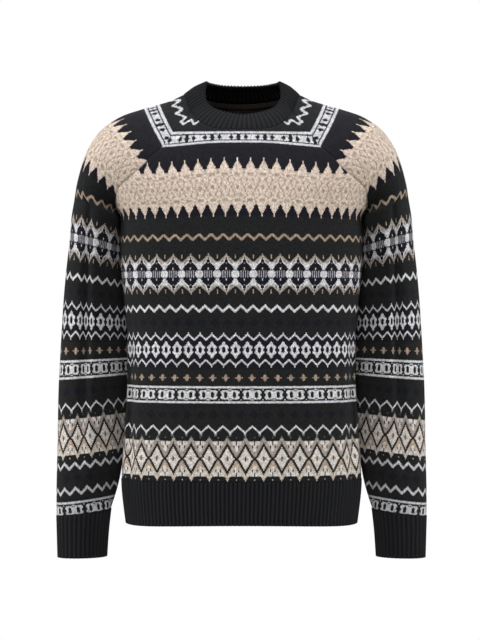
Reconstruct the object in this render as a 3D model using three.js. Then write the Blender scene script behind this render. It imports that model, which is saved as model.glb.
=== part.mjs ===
// A crew-neck fair isle jumper with raglan sleeves, hollow and filled out as if it were being worn.
// Millimetres, +Z up, the wearer faces -Y. The origin is midway between the two highest points of the
// neck seam, where the shoulders carry the jumper.
import * as THREE from "three";

// Driving sizes of the fabric and its seams
const WALL = 2.4;
const SEAM_GAP = 0.3;
const SIDE_SEAM_Y = -8;
const SECTION_POWER = 2.4;

// How finely the walls are divided
const PANEL_COLUMNS = 28;
const SLEEVE_COLUMNS = 24;
const PANEL_ROWS_BELOW_ARM = 10;

// Ribbing: the number of ribs in each band, and how far they stand out of and sink into the wall
const HEM_RIBS = 150;
const CUFF_RIBS = 34;
const NECK_RIBS = { halfFront: 13, sleeve: 14, halfBack: 11 };
const RIB_RISE = 0.8;
const RIB_SINK = 0.7;

// Neckline: how the neck seam climbs from the middle to the raglan seams
const FRONT_NECK_POWER = 2.6;
const BACK_NECK_POWER = 2;

// Heights of the underarm and of the hem band
const UNDERARM_Z = -197;
const HEM_SEAM_Z = -606;
const HEM_END_Z = -671;

// Front of the body: the seam at its edge (the raglan seam, then the side seam) and its middle line
const FRONT = [
  { z: -32, seamX: 78.9, seamY: -38, midY: -66 },
  { z: -48.6, seamX: 90.9, seamY: -57, midY: -71 },
  { z: -64.4, seamX: 104.8, seamY: -71, midY: -79 },
  { z: -89.3, seamX: 122.1, seamY: -83, midY: -95 },
  { z: -105.9, seamX: 141, seamY: -87, midY: -103 },
  { z: -118.3, seamX: 151.7, seamY: -87, midY: -108 },
  { z: -137.9, seamX: 173.7, seamY: -81, midY: -114 },
  { z: -155.5, seamX: 192.3, seamY: -64, midY: -118 },
  { z: -178.9, seamX: 197.3, seamY: -36, midY: -121 },
  { z: UNDERARM_Z, seamX: 190, seamY: SIDE_SEAM_Y, midY: -123 },
  { z: -246, seamX: 191, seamY: SIDE_SEAM_Y, midY: -125 },
  { z: -325, seamX: 185, seamY: SIDE_SEAM_Y, midY: -122 },
  { z: -389, seamX: 180, seamY: SIDE_SEAM_Y, midY: -119 },
  { z: -452, seamX: 180, seamY: SIDE_SEAM_Y, midY: -117 },
  { z: -520, seamX: 184, seamY: SIDE_SEAM_Y, midY: -116 },
  { z: HEM_SEAM_Z, seamX: 188.5, seamY: SIDE_SEAM_Y, midY: -112 },
  { z: HEM_END_Z, seamX: 184, seamY: SIDE_SEAM_Y, midY: -106 },
];

// Back of the body, in the same columns
const BACK = [
  { z: 2, seamX: 78, seamY: 46, midY: 72 },
  { z: -10, seamX: 84, seamY: 57, midY: 78 },
  { z: -32, seamX: 98, seamY: 71, midY: 87 },
  { z: -62, seamX: 116, seamY: 82, midY: 98 },
  { z: -88, seamX: 132, seamY: 87, midY: 105 },
  { z: -108, seamX: 146, seamY: 88, midY: 110 },
  { z: -134, seamX: 166, seamY: 83, midY: 115 },
  { z: -163, seamX: 186, seamY: 65, midY: 118 },
  { z: -184, seamX: 193, seamY: 38, midY: 119 },
  { z: UNDERARM_Z, seamX: 190, seamY: SIDE_SEAM_Y, midY: 119 },
  { z: -246, seamX: 191, seamY: SIDE_SEAM_Y, midY: 117 },
  { z: -325, seamX: 185, seamY: SIDE_SEAM_Y, midY: 111 },
  { z: -389, seamX: 180, seamY: SIDE_SEAM_Y, midY: 107 },
  { z: -452, seamX: 180, seamY: SIDE_SEAM_Y, midY: 105 },
  { z: -520, seamX: 184, seamY: SIDE_SEAM_Y, midY: 105 },
  { z: HEM_SEAM_Z, seamX: 188.5, seamY: SIDE_SEAM_Y, midY: 104 },
  { z: HEM_END_Z, seamX: 184, seamY: SIDE_SEAM_Y, midY: 100 },
];

// Rows of knitting in the yoke, from the neck seam to the underarm: the heights at which each one meets
// the front raglan seam, the middle of the front, the back raglan seam and the middle of the back
const YOKE = [
  { frontZ: -32, frontMidZ: -62, backZ: 2, backMidZ: -8 },
  { frontZ: -48.6, frontMidZ: -72, backZ: -10, backMidZ: -22 },
  { frontZ: -64.4, frontMidZ: -84, backZ: -32, backMidZ: -40 },
  { frontZ: -89.3, frontMidZ: -100, backZ: -62, backMidZ: -66 },
  { frontZ: -105.9, frontMidZ: -114, backZ: -88, backMidZ: -90 },
  { frontZ: -118.3, frontMidZ: -127, backZ: -108, backMidZ: -110 },
  { frontZ: -137.9, frontMidZ: -145, backZ: -134, backMidZ: -137 },
  { frontZ: -155.5, frontMidZ: -162, backZ: -163, backMidZ: -160 },
  { frontZ: -178.9, frontMidZ: -182, backZ: -184, backMidZ: -182 },
  { frontZ: UNDERARM_Z, frontMidZ: UNDERARM_Z, backZ: UNDERARM_Z, backMidZ: UNDERARM_Z },
];

// The same rows over the sleeve: the point on the shoulder line, how far the row sets off forwards from
// the raglan seam, in degrees, and how full its arc is
const SHOULDER = [
  { outX: 91, outY: 2, outZ: -1, turn: -49, handle: 19 },
  { outX: 115, outY: 2, outZ: -12, turn: -42, handle: 27 },
  { outX: 133, outY: 2, outZ: -17.4, turn: -32, handle: 33 },
  { outX: 160, outY: 1, outZ: -25.3, turn: -24, handle: 41 },
  { outX: 187, outY: 0, outZ: -34.5, turn: -14, handle: 45 },
  { outX: 208.5, outY: 0, outZ: -46.6, turn: -8, handle: 50 },
  { outX: 226.5, outY: -1, outZ: -63.2, turn: 0, handle: 54 },
  { outX: 246.5, outY: -2, outZ: -98, turn: 15, handle: 57 },
  { outX: 260.5, outY: -3, outZ: -150, turn: 45, handle: 67 },
  { outX: 263.5, outY: -3, outZ: -167.5, turn: 90, handle: 83 },
];

// Sleeve from the underarm to the cuff seam: the outer and inner ends of each row, and half its depth.
// The rows tip down towards the body at the top and up towards it at the bottom.
const SLEEVE = [
  { outX: 263.5, outY: -3, outZ: -167.5, inX: 190, inY: SIDE_SEAM_Y, inZ: UNDERARM_Z, halfDepth: 62 },
  { outX: 268.5, outY: -2, outZ: -198, inX: 193, inY: 2, inZ: -222, halfDepth: 62 },
  { outX: 271, outY: -1, outZ: -229, inX: 193, inY: 10, inZ: -249, halfDepth: 61 },
  { outX: 277, outY: 0, outZ: -281, inX: 188.7, inY: 13, inZ: -295, halfDepth: 58 },
  { outX: 281.3, outY: 0, outZ: -330, inX: 185.4, inY: 13, inZ: -340, halfDepth: 56 },
  { outX: 284, outY: -1, outZ: -374, inX: 182.2, inY: 13, inZ: -377, halfDepth: 55 },
  { outX: 286.3, outY: -2, outZ: -417, inX: 181.2, inY: 13, inZ: -413, halfDepth: 54 },
  { outX: 288.5, outY: -3, outZ: -461, inX: 181.4, inY: 12, inZ: -452, halfDepth: 53 },
  { outX: 289.5, outY: -4, outZ: -505, inX: 183.8, inY: 12, inZ: -494, halfDepth: 52 },
  { outX: 290, outY: -5, outZ: -548, inX: 187, inY: 11, inZ: -536, halfDepth: 51 },
  { outX: 290.7, outY: -6, outZ: -588, inX: 190.3, inY: 10, inZ: -575, halfDepth: 49 },
  { outX: 291, outY: -8, outZ: -622, inX: 194, inY: 8, inZ: -610, halfDepth: 46 },
  { outX: 290.5, outY: -9, outZ: -647, inX: 200, inY: 6, inZ: -636, halfDepth: 42 },
  { outX: 289.5, outY: -10, outZ: -664, inX: 205.5, inY: 5, inZ: -654, halfDepth: 38 },
];

// Cuff band, in the same columns
const CUFF = [
  { outX: 289.5, outY: -10, outZ: -664, inX: 205.5, inY: 5, inZ: -654, halfDepth: 38 },
  { outX: 288, outY: -11, outZ: -697, inX: 209, inY: 3, inZ: -692, halfDepth: 35 },
  { outX: 287, outY: -12, outZ: -730, inX: 211.5, inY: 2, inZ: -730, halfDepth: 33 },
];

// Upper edge of the neck band: half its width, its front and back, and the heights round it
const NECK_EDGE = { halfWidth: 57.5, frontY: -50, backY: 53, sideY: 5, frontZ: -36, sideZ: 21, backZ: 19 };
const NECK_EDGE_DIP = 1.4;
const NECK_BULGE = 2.5;
const NECK_ROWS = 3;

// Soft upright folds of the body: where they run, how wide and deep they are, on the front and the back
const BODY_FOLDS = [
  { x: 164, topZ: -330, endZ: -640, width: 13, depth: 5 },
  { x: 128, topZ: -430, endZ: -650, width: 15, depth: 2.5 },
];
// The folds die away within this distance of the side seams
const FOLD_FADE = 40;
// The crease down the front of each sleeve, as a share of the way round from the seam, and by station
const SLEEVE_CREASE = { round: 0.33, top: 7, end: 16, width: 0.05, depth: 5 };

// Tape over the inside of the back neck seam, which reaches this share of the way to the raglan seams
const TAPE = { thickness: 1, clearance: 0.3, height: 8, reach: 0.9 };

const COLOURS = { charcoal: 0x1e1f21, rib: 0x1b1c1e, tape: 0x33302b };
const KNIT_ROUGHNESS = 0.95;

// A smooth curve through a table's rows that never overshoots them
function through(rows, key, column) {
  const turned = rows[0][key] > rows[rows.length - 1][key];
  const sorted = turned ? [...rows].reverse() : rows;
  const at = sorted.map((row) => row[key]);
  const value = sorted.map((row) => row[column]);
  const slopes = at.slice(1).map((a, i) => (value[i + 1] - value[i]) / (a - at[i]));
  const tangents = at.map((_, i) => {
    if (i === 0) return slopes[0];
    if (i === at.length - 1) return slopes[i - 1];
    if (slopes[i - 1] * slopes[i] <= 0) return 0;
    const before = at[i] - at[i - 1];
    const after = at[i + 1] - at[i];
    const w1 = 2 * after + before;
    const w2 = after + 2 * before;
    return (w1 + w2) / (w1 / slopes[i - 1] + w2 / slopes[i]);
  });
  return (x) => {
    let i = 0;
    while (i < at.length - 2 && x > at[i + 1]) i += 1;
    const step = at[i + 1] - at[i];
    const s = THREE.MathUtils.clamp((x - at[i]) / step, 0, 1);
    const rise = s * s * (3 - 2 * s);
    const lead = s * (1 - s) * (1 - s) * tangents[i];
    const trail = s * s * (1 - s) * tangents[i + 1];
    return value[i] * (1 - rise) + value[i + 1] * rise + step * (lead - trail);
  };
}

// Every column of a table as a curve over its key, or over the number of its row
function curves(table, key) {
  const rows = table.map((row, index) => ({ index, ...row }));
  const names = Object.keys(rows[0]).filter((name) => name !== (key ?? "index"));
  return Object.fromEntries(names.map((name) => [name, through(rows, key ?? "index", name)]));
}

const yoke = curves(YOKE);
const shoulder = curves(SHOULDER);
const UNDERARM = YOKE.length - 1;
const sleeve = curves(SLEEVE);
const CUFF_SEAM = UNDERARM + SLEEVE.length - 1;

// How deep the body's upright folds are at a point
function foldDepth(x, z) {
  return BODY_FOLDS.reduce((sum, fold) => {
    const across = (Math.abs(x) - fold.x) / fold.width;
    const down = THREE.MathUtils.clamp((fold.topZ - z) / (fold.topZ - fold.endZ), 0, 1);
    return sum + fold.depth * Math.exp(-across * across) * Math.sin(Math.PI * down);
  }, 0);
}

// One face of the body. Side is -1 for the front and 1 for the back.
function bodyFace(table, side, neckPower) {
  const face = curves(table, "z");
  const reach = (z) => {
    const share = Math.pow((face.seamY(z) - SIDE_SEAM_Y) / (face.midY(z) - SIDE_SEAM_Y), SECTION_POWER);
    return { share, halfWidth: face.seamX(z) / Math.pow(1 - share, 1 / SECTION_POWER) };
  };
  const depthAt = (x, z) => {
    const inside = Math.max(0, 1 - Math.pow(Math.abs(x) / reach(z).halfWidth, SECTION_POWER));
    const full = (face.midY(z) - SIDE_SEAM_Y) * Math.pow(inside, 1 / SECTION_POWER);
    return SIDE_SEAM_Y + full - side * foldDepth(x, z) * Math.min(1, Math.abs(full) / FOLD_FADE);
  };
  // A row of points from the right-hand seam to the left-hand one, at the given heights
  const row = (seamZ, midZ, columns) => {
    const { share, halfWidth } = reach(seamZ);
    const first = Math.asin(Math.sqrt(Math.max(0, share)));
    const seamX = face.seamX(seamZ);
    return Array.from({ length: columns + 1 }, (_, i) => {
      const angle = first + (i / columns) * (Math.PI - 2 * first);
      const cosine = Math.cos(angle);
      const x = i === 0 || i === columns ? Math.sign(cosine) * seamX
        : Math.sign(cosine) * halfWidth * Math.pow(Math.abs(cosine), 2 / SECTION_POWER);
      const z = midZ + (seamZ - midZ) * Math.pow(Math.min(1, Math.abs(x) / seamX), neckPower);
      const y = i === 0 || i === columns ? face.seamY(seamZ) : depthAt(x, z);
      return new THREE.Vector3(x, y, z);
    });
  };
  return { row, seam: (z) => new THREE.Vector3(face.seamX(z), face.seamY(z), z) };
}

const front = bodyFace(FRONT, -1, FRONT_NECK_POWER);
const back = bodyFace(BACK, 1, BACK_NECK_POWER);

// Heights of the rows below the underarm, evenly spaced to the hem seam
const belowArm = Array.from(
  { length: PANEL_ROWS_BELOW_ARM },
  (_, i) => UNDERARM_Z + ((HEM_SEAM_Z - UNDERARM_Z) * (i + 1)) / PANEL_ROWS_BELOW_ARM,
);

function panelGrid(face, seamZ, midZ) {
  const rows = Array.from({ length: UNDERARM + 1 }, (_, i) => face.row(seamZ(i), midZ(i), PANEL_COLUMNS));
  return [...rows, ...belowArm.map((z) => face.row(z, z, PANEL_COLUMNS))];
}

// One arc of a sleeve row, between a seam point and the outermost point
function sleeveArc(seam, out, sideways, turn, handle, s) {
  const across = new THREE.Vector3(out.x - seam.x, 0, out.z - seam.z).normalize();
  const lead = across.multiplyScalar(Math.cos(turn));
  lead.y = sideways * Math.sin(turn);
  const control = seam.clone().addScaledVector(lead, handle);
  const crown = out.clone().add(new THREE.Vector3(0, sideways * handle, 0));
  return new THREE.CubicBezierCurve3(seam, control, crown, out).getPoint(s);
}

// A point of a band that closes round the arm, from its outer and inner ends
function ringPoint(band, i, round) {
  const out = new THREE.Vector3(band.outX(i), band.outY(i), band.outZ(i));
  const inner = new THREE.Vector3(band.inX(i), band.inY(i), band.inZ(i));
  const sideways = round <= 0.5 ? -1 : 1;
  const s = round <= 0.5 ? 2 * round : 2 - 2 * round;
  return sleeveArc(inner, out, sideways, Math.PI / 2, (4 / 3) * band.halfDepth(i), s);
}

// A point of the right sleeve: the station down it, and the share of the way round from the front seam
function sleevePoint(station, round) {
  let point;
  if (station > UNDERARM) {
    point = ringPoint(sleeve, station - UNDERARM, round);
  } else {
    const isFront = round <= 0.5;
    const seam = isFront ? front.seam(yoke.frontZ(station)) : back.seam(yoke.backZ(station));
    const out = new THREE.Vector3(shoulder.outX(station), shoulder.outY(station), shoulder.outZ(station));
    const turn = THREE.MathUtils.degToRad(shoulder.turn(station));
    const s = isFront ? 2 * round : 2 - 2 * round;
    point = sleeveArc(seam, out, isFront ? -1 : 1, turn, shoulder.handle(station), s);
  }
  const across = (round - SLEEVE_CREASE.round) / SLEEVE_CREASE.width;
  const length = SLEEVE_CREASE.end - SLEEVE_CREASE.top;
  const down = THREE.MathUtils.clamp((station - SLEEVE_CREASE.top) / length, 0, 1);
  point.y += SLEEVE_CREASE.depth * Math.exp(-across * across) * Math.sin(Math.PI * down);
  return point;
}

function sleeveGrid() {
  return Array.from({ length: CUFF_SEAM + 1 }, (_, i) =>
    Array.from({ length: SLEEVE_COLUMNS + 1 }, (_, j) => sleevePoint(i, j / SLEEVE_COLUMNS)),
  );
}

// Normals of a grid of points. Outward is 1 or -1, for the way that its rows and columns turn.
function gridNormals(grid, outward, closed) {
  const last = grid[0].length - 1;
  return grid.map((row, i) =>
    row.map((_, j) => {
      const above = grid[Math.max(0, i - 1)][j];
      const below = grid[Math.min(grid.length - 1, i + 1)][j];
      const before = closed ? row[(j - 1 + last) % last] : row[Math.max(0, j - 1)];
      const after = closed ? row[(j + 1) % last] : row[Math.min(last, j + 1)];
      const down = below.clone().sub(above);
      const along = after.clone().sub(before);
      return down.cross(along).multiplyScalar(outward).normalize();
    }),
  );
}

// No row of a panel closes on itself
const OPEN = Infinity;

// A closed wall between an outer and an inner grid, whose rows close on themselves from a given row on.
// The inner grid may have fewer columns.
function wallGeometry(outer, inner, closedFrom) {
  const positions = [];
  const faces = [];
  const place = (grid) =>
    grid.map((row, i) => {
      const points = i >= closedFrom ? row.slice(0, -1) : row;
      const indices = points.map((p) => positions.push(p.x, p.y, p.z) / 3 - 1);
      return i >= closedFrom ? [...indices, indices[0]] : indices;
    });
  const a = place(outer);
  const b = place(inner);
  const face = (flip, p, q, r) => (flip ? faces.push(p, r, q) : faces.push(p, q, r));
  const sheet = (g, flip) => {
    for (let i = 0; i < g.length - 1; i += 1) {
      for (let j = 0; j < g[i].length - 1; j += 1) {
        face(flip, g[i][j], g[i + 1][j], g[i + 1][j + 1]);
        face(flip, g[i][j], g[i + 1][j + 1], g[i][j + 1]);
      }
    }
  };
  // The rim between one edge of each sheet, where several outer steps may meet one inner step
  const rim = (outerEdge, innerEdge, flip) => {
    const steps = (outerEdge.length - 1) / (innerEdge.length - 1);
    const half = Math.ceil(steps / 2);
    for (let j = 0; j < innerEdge.length - 1; j += 1) {
      for (let k = 0; k < steps; k += 1) {
        const at = j * steps + k;
        face(flip, outerEdge[at], outerEdge[at + 1], innerEdge[k < half ? j : j + 1]);
      }
      face(flip, outerEdge[j * steps + half], innerEdge[j + 1], innerEdge[j]);
    }
  };
  const side = (grid, j) => grid.slice(0, closedFrom + 1).map((row) => row[j < 0 ? row.length - 1 : j]);
  sheet(a, false);
  sheet(b, true);
  rim(a[0], b[0], false);
  rim(a[a.length - 1], b[b.length - 1], true);
  if (closedFrom > 0) {
    rim(side(a, 0), side(b, 0), true);
    rim(side(a, -1), side(b, -1), false);
  }
  const geometry = new THREE.BufferGeometry();
  geometry.setAttribute("position", new THREE.Float32BufferAttribute(positions, 3));
  geometry.setIndex(enclosedVolume(positions, faces) < 0 ? turnedOver(faces) : faces);
  geometry.computeVertexNormals();
  return geometry;
}

function enclosedVolume(positions, faces) {
  const corner = (i) => new THREE.Vector3().fromArray(positions, 3 * i);
  let sum = 0;
  for (let i = 0; i < faces.length; i += 3) {
    sum += corner(faces[i]).dot(corner(faces[i + 1]).cross(corner(faces[i + 2]))) / 6;
  }
  return sum;
}

function turnedOver(faces) {
  return faces.map((_, i) => faces[i % 3 === 0 ? i : i % 3 === 1 ? i + 1 : i - 1]);
}

// The inner grid of a wall, a wall's thickness in from the outer one
function innerGrid(outer, normals, thickness) {
  return outer.map((row, i) => row.map((p, j) => p.clone().addScaledVector(normals[i][j], -thickness)));
}

// Draws one edge point of both grids back from a seam, square to it, by half the seam's gap
function drawBack(outer, inner, [i, j], [nextI, nextJ], seamBefore, seamAfter) {
  const seam = seamAfter.clone().sub(seamBefore).normalize();
  const step = outer[nextI][nextJ].clone().sub(outer[i][j]);
  step.addScaledVector(seam, -step.dot(seam)).setLength(SEAM_GAP / 2);
  outer[i][j].add(step);
  inner[i][j].add(step);
}

// Draws back the rows and the side edges of a grid. Side edges end before the last row that they name.
function drawBackEdges(outer, inner, lastSideRow) {
  const lastRow = outer.length - 1;
  const last = outer[0].length - 1;
  const seams = outer.map((row) => row.map((p) => p.clone()));
  for (let i = 0; i <= lastSideRow; i += 1) {
    if (i === UNDERARM) continue;
    const before = Math.max(0, i - 1);
    const after = Math.min(lastRow, i + 1);
    drawBack(outer, inner, [i, 0], [i, 1], seams[before][0], seams[after][0]);
    drawBack(outer, inner, [i, last], [i, last - 1], seams[before][last], seams[after][last]);
  }
  for (const [i, next] of [[0, 1], [lastRow, lastRow - 1]]) {
    for (let j = 0; j <= last; j += 1) {
      const before = seams[i][Math.max(0, j - 1)];
      const after = seams[i][Math.min(last, j + 1)];
      drawBack(outer, inner, [i, j], [next, j], before, after);
    }
  }
}

// At the underarm a corner is drawn back towards its own piece
function drawBackUnderarm(outer, inner, column, x, y) {
  for (const grid of [outer, inner]) grid[UNDERARM][column].add(new THREE.Vector3(x, y, 0));
}

const mirrored = (p) => new THREE.Vector3(-p.x, p.y, p.z);

// The three grids that meet at the raglan seams, with the normals along the seams shared
const frontOuter = panelGrid(front, yoke.frontZ, yoke.frontMidZ);
const backOuter = panelGrid(back, yoke.backZ, yoke.backMidZ);
const sleeveOuter = sleeveGrid();
const frontNormals = gridNormals(frontOuter, -1, false);
const backNormals = gridNormals(backOuter, 1, false);
const sleeveNormals = gridNormals(sleeveOuter, 1, false);

function share(normalsA, i, j, normalsB, k, l) {
  const mean = normalsA[i][j].clone().add(normalsB[k][l]).normalize();
  normalsA[i][j] = mean.clone();
  normalsB[k][l] = mean.clone();
}

for (let i = 0; i < UNDERARM; i += 1) {
  share(frontNormals, i, 0, sleeveNormals, i, 0);
  share(backNormals, i, 0, sleeveNormals, i, SLEEVE_COLUMNS);
}
for (let i = UNDERARM + 1; i < frontOuter.length; i += 1) {
  share(frontNormals, i, 0, backNormals, i, 0);
}
for (let i = UNDERARM + 1; i < sleeveOuter.length; i += 1) {
  share(sleeveNormals, i, 0, sleeveNormals, i, SLEEVE_COLUMNS);
}
// All four seams meet at the underarm, where the fabric turns over a fold that opens downwards
const DOWN = new THREE.Vector3(0, 0, -1);
frontNormals[UNDERARM][0] = DOWN.clone();
backNormals[UNDERARM][0] = DOWN.clone();
sleeveNormals[UNDERARM][0] = DOWN.clone();
sleeveNormals[UNDERARM][SLEEVE_COLUMNS] = DOWN.clone();
for (const normals of [frontNormals, backNormals]) {
  for (const row of normals) row[PANEL_COLUMNS] = mirrored(row[0]);
}

const frontInner = innerGrid(frontOuter, frontNormals, WALL);
const backInner = innerGrid(backOuter, backNormals, WALL);
const sleeveInner = innerGrid(sleeveOuter, sleeveNormals, WALL);

// Points evenly spaced along a line of points, with the values that go with them
function evenly(points, values, count) {
  const lengths = [0];
  for (let i = 1; i < points.length; i += 1) {
    lengths.push(lengths[i - 1] + points[i].distanceTo(points[i - 1]));
  }
  const total = lengths[lengths.length - 1];
  let i = 0;
  return Array.from({ length: count + 1 }, (_, k) => {
    const at = (total * k) / count;
    while (i < lengths.length - 2 && lengths[i + 1] < at) i += 1;
    const s = (at - lengths[i]) / (lengths[i + 1] - lengths[i]);
    return {
      point: points[i].clone().lerp(points[i + 1], s),
      value: values[i].clone().lerp(values[i + 1], s).normalize(),
    };
  });
}

// A ribbed band: its outer points are crests and valleys in turn, and its inner face is plain
function ribbedWall(smooth, normals, inwardEvery) {
  const outer = smooth.map((row, i) =>
    row.map((p, j) => p.clone().addScaledVector(normals[i][j], j % 2 ? RIB_RISE : -RIB_SINK)),
  );
  const pick = (row) => row.filter((_, j) => j % inwardEvery === 0);
  const inner = innerGrid(smooth.map(pick), normals.map(pick), WALL);
  return { outer, inner };
}

function drawBackRow(outer, inner, row, next, smooth) {
  const every = (outer[0].length - 1) / (inner[0].length - 1);
  outer[row].forEach((p, j) => {
    const step = smooth[next][j].clone().sub(smooth[row][j]).setLength(SEAM_GAP / 2);
    p.add(step);
    if (j % every === 0) inner[row][j / every].add(step);
  });
}

// The neck seam as one ring with its normals, from the middle of the front, round by the right shoulder
function neckSeam() {
  const middle = PANEL_COLUMNS / 2;
  const stretches = [
    {
      part: (f) => f.slice(0, middle + 1).reverse(),
      outer: frontOuter,
      normals: frontNormals,
      ribs: NECK_RIBS.halfFront,
    },
    { part: (s) => s, outer: sleeveOuter, normals: sleeveNormals, ribs: NECK_RIBS.sleeve },
    { part: (b) => b.slice(0, middle + 1), outer: backOuter, normals: backNormals, ribs: NECK_RIBS.halfBack },
  ];
  const right = stretches.flatMap(({ part, outer, normals, ribs }, i) => {
    const stretch = evenly(part(outer[0]), part(normals[0]), 2 * ribs);
    return i === 0 ? stretch : stretch.slice(1);
  });
  const left = right.slice(0, -1).reverse();
  const across = ({ point, value }) => ({ point: mirrored(point), value: mirrored(value) });
  return [...right, ...left.map(across)];
}

function neckBand() {
  const low = neckSeam();
  const count = low.length - 1;
  const edgePoint = (angle) => {
    const sine = Math.sin(angle);
    const e = NECK_EDGE;
    const y = sine < 0 ? e.sideY - (e.sideY - e.frontY) * -sine : e.sideY + (e.backY - e.sideY) * sine;
    const z = sine < 0 ? e.sideZ - (e.sideZ - e.frontZ) * Math.pow(-sine, NECK_EDGE_DIP)
      : e.sideZ - (e.sideZ - e.backZ) * sine * sine;
    return new THREE.Vector3(e.halfWidth * Math.cos(angle), y, z);
  };
  const fine = 4 * count;
  const turn = Array.from({ length: fine + 1 }, (_, i) => edgePoint((i / fine) * 2 * Math.PI - Math.PI / 2));
  const high = evenly(turn, turn, count).map(({ point }) => point);
  const smooth = Array.from({ length: NECK_ROWS + 1 }, (_, i) =>
    low.map(({ point, value }, j) => {
      const s = i / NECK_ROWS;
      const p = point.clone().lerp(high[j], s);
      return p.addScaledVector(value, NECK_BULGE * Math.sin(Math.PI * s));
    }),
  );
  const normals = gridNormals(smooth, -1, true);
  normals[0] = low.map(({ value }) => value);
  const { outer, inner } = ribbedWall(smooth, normals, 2);
  drawBackRow(outer, inner, 0, 1, smooth);
  return wallGeometry(outer, inner, 0);
}

function hemBand() {
  const heights = [HEM_SEAM_Z, (HEM_SEAM_Z + HEM_END_Z) / 2, HEM_END_Z];
  const smooth = heights.map((z) => {
    const frontRow = front.row(z, z, 4 * PANEL_COLUMNS);
    const backRow = back.row(z, z, 4 * PANEL_COLUMNS).reverse();
    const ring = [...frontRow, ...backRow.slice(1)];
    return evenly(ring, ring, 2 * HEM_RIBS).map(({ point }) => point);
  });
  const normals = gridNormals(smooth, -1, true);
  const { outer, inner } = ribbedWall(smooth, normals, 4);
  drawBackRow(outer, inner, 0, 1, smooth);
  return wallGeometry(outer, inner, 0);
}

function cuffBand() {
  const cuff = curves(CUFF);
  const fine = 4 * SLEEVE_COLUMNS;
  const smooth = CUFF.map((_, i) => {
    const ring = Array.from({ length: fine + 1 }, (_, j) => ringPoint(cuff, i, j / fine));
    return evenly(ring, ring, 2 * CUFF_RIBS).map(({ point }) => point);
  });
  const normals = gridNormals(smooth, 1, true);
  const { outer, inner } = ribbedWall(smooth, normals, 2);
  drawBackRow(outer, inner, 0, 1, smooth);
  return wallGeometry(outer, inner, 0);
}

// The tape follows the back neck seam just inside the back panel
function neckTape() {
  const middle = PANEL_COLUMNS / 2;
  const first = Math.round(middle - TAPE.reach * middle);
  const columns = Array.from({ length: PANEL_COLUMNS - 2 * first + 1 }, (_, j) => j + first);
  const line = (drop, inset) =>
    columns.map((j) => {
      const top = backInner[0][j];
      const along = backInner[1][j].clone().sub(top).setLength(SEAM_GAP + drop);
      return top.clone().add(along).addScaledVector(backNormals[0][j], -inset);
    });
  const drops = [0, TAPE.height];
  const outer = drops.map((drop) => line(drop, TAPE.clearance));
  const inner = drops.map((drop) => line(drop, TAPE.clearance + TAPE.thickness));
  return wallGeometry(outer, inner, OPEN);
}

const tape = neckTape();
const neck = neckBand();
const halfGap = SEAM_GAP / 2;
for (const [outer, inner, y] of [[frontOuter, frontInner, -halfGap], [backOuter, backInner, halfGap]]) {
  drawBackEdges(outer, inner, outer.length - 1);
  drawBackUnderarm(outer, inner, 0, -halfGap, y);
  drawBackUnderarm(outer, inner, PANEL_COLUMNS, halfGap, y);
}
drawBackEdges(sleeveOuter, sleeveInner, UNDERARM - 1);
drawBackUnderarm(sleeveOuter, sleeveInner, 0, halfGap, 0);

// The left-hand twin of a piece
function mirroredGeometry(geometry) {
  const twin = geometry.clone().scale(-1, 1, 1);
  twin.setIndex(turnedOver([...geometry.index.array]));
  twin.computeVertexNormals();
  return twin;
}

function piece(name, geometry, color) {
  const material = new THREE.MeshStandardMaterial({ color, roughness: KNIT_ROUGHNESS, metalness: 0 });
  const mesh = new THREE.Mesh(geometry, material);
  mesh.name = name;
  return mesh;
}

const rightSleeve = wallGeometry(sleeveOuter, sleeveInner, UNDERARM);
const rightCuff = cuffBand();

const jumper = new THREE.Group();
jumper.add(
  piece("front_panel", wallGeometry(frontOuter, frontInner, OPEN), COLOURS.charcoal),
  piece("back_panel", wallGeometry(backOuter, backInner, OPEN), COLOURS.charcoal),
  piece("right_sleeve", rightSleeve, COLOURS.charcoal),
  piece("left_sleeve", mirroredGeometry(rightSleeve), COLOURS.charcoal),
  piece("neck_rib", neck, COLOURS.rib),
  piece("hem_rib", hemBand(), COLOURS.rib),
  piece("right_cuff_rib", rightCuff, COLOURS.rib),
  piece("left_cuff_rib", mirroredGeometry(rightCuff), COLOURS.rib),
  piece("neck_tape", tape, COLOURS.tape),
);

export default jumper;
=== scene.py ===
import math

import bpy
import numpy as np
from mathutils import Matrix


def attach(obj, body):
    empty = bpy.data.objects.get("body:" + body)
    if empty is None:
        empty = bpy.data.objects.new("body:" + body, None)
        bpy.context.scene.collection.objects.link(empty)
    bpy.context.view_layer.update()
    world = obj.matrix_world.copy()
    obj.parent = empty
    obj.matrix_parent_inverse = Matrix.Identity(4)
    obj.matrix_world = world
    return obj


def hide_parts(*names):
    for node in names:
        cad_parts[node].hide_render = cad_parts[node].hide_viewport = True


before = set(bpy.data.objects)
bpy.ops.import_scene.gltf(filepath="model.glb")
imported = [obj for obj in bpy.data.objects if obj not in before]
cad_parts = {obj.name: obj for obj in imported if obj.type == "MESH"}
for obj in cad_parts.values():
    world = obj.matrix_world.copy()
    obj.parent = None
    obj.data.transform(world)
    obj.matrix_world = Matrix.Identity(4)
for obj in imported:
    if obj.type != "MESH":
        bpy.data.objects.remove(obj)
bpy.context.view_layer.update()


# The view. The jumper is seen level and from straight in front, from far enough back to look flat. A pixel
# of the picture is 1.58 mm at the shoulders. Large soft lamps stand to both sides, in front, above and
# behind, and the floor below is pale and matt.
PIXEL_MM = 1.58
PICTURE_HEIGHT = 640
VIEW_DISTANCE = 3.5
VIEW_HEIGHT = -0.357
VIEW_SIDE = -0.0024
VIEW_END = 50
SENSOR = 36
BACKGROUND = "#FFFFFF"
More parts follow.
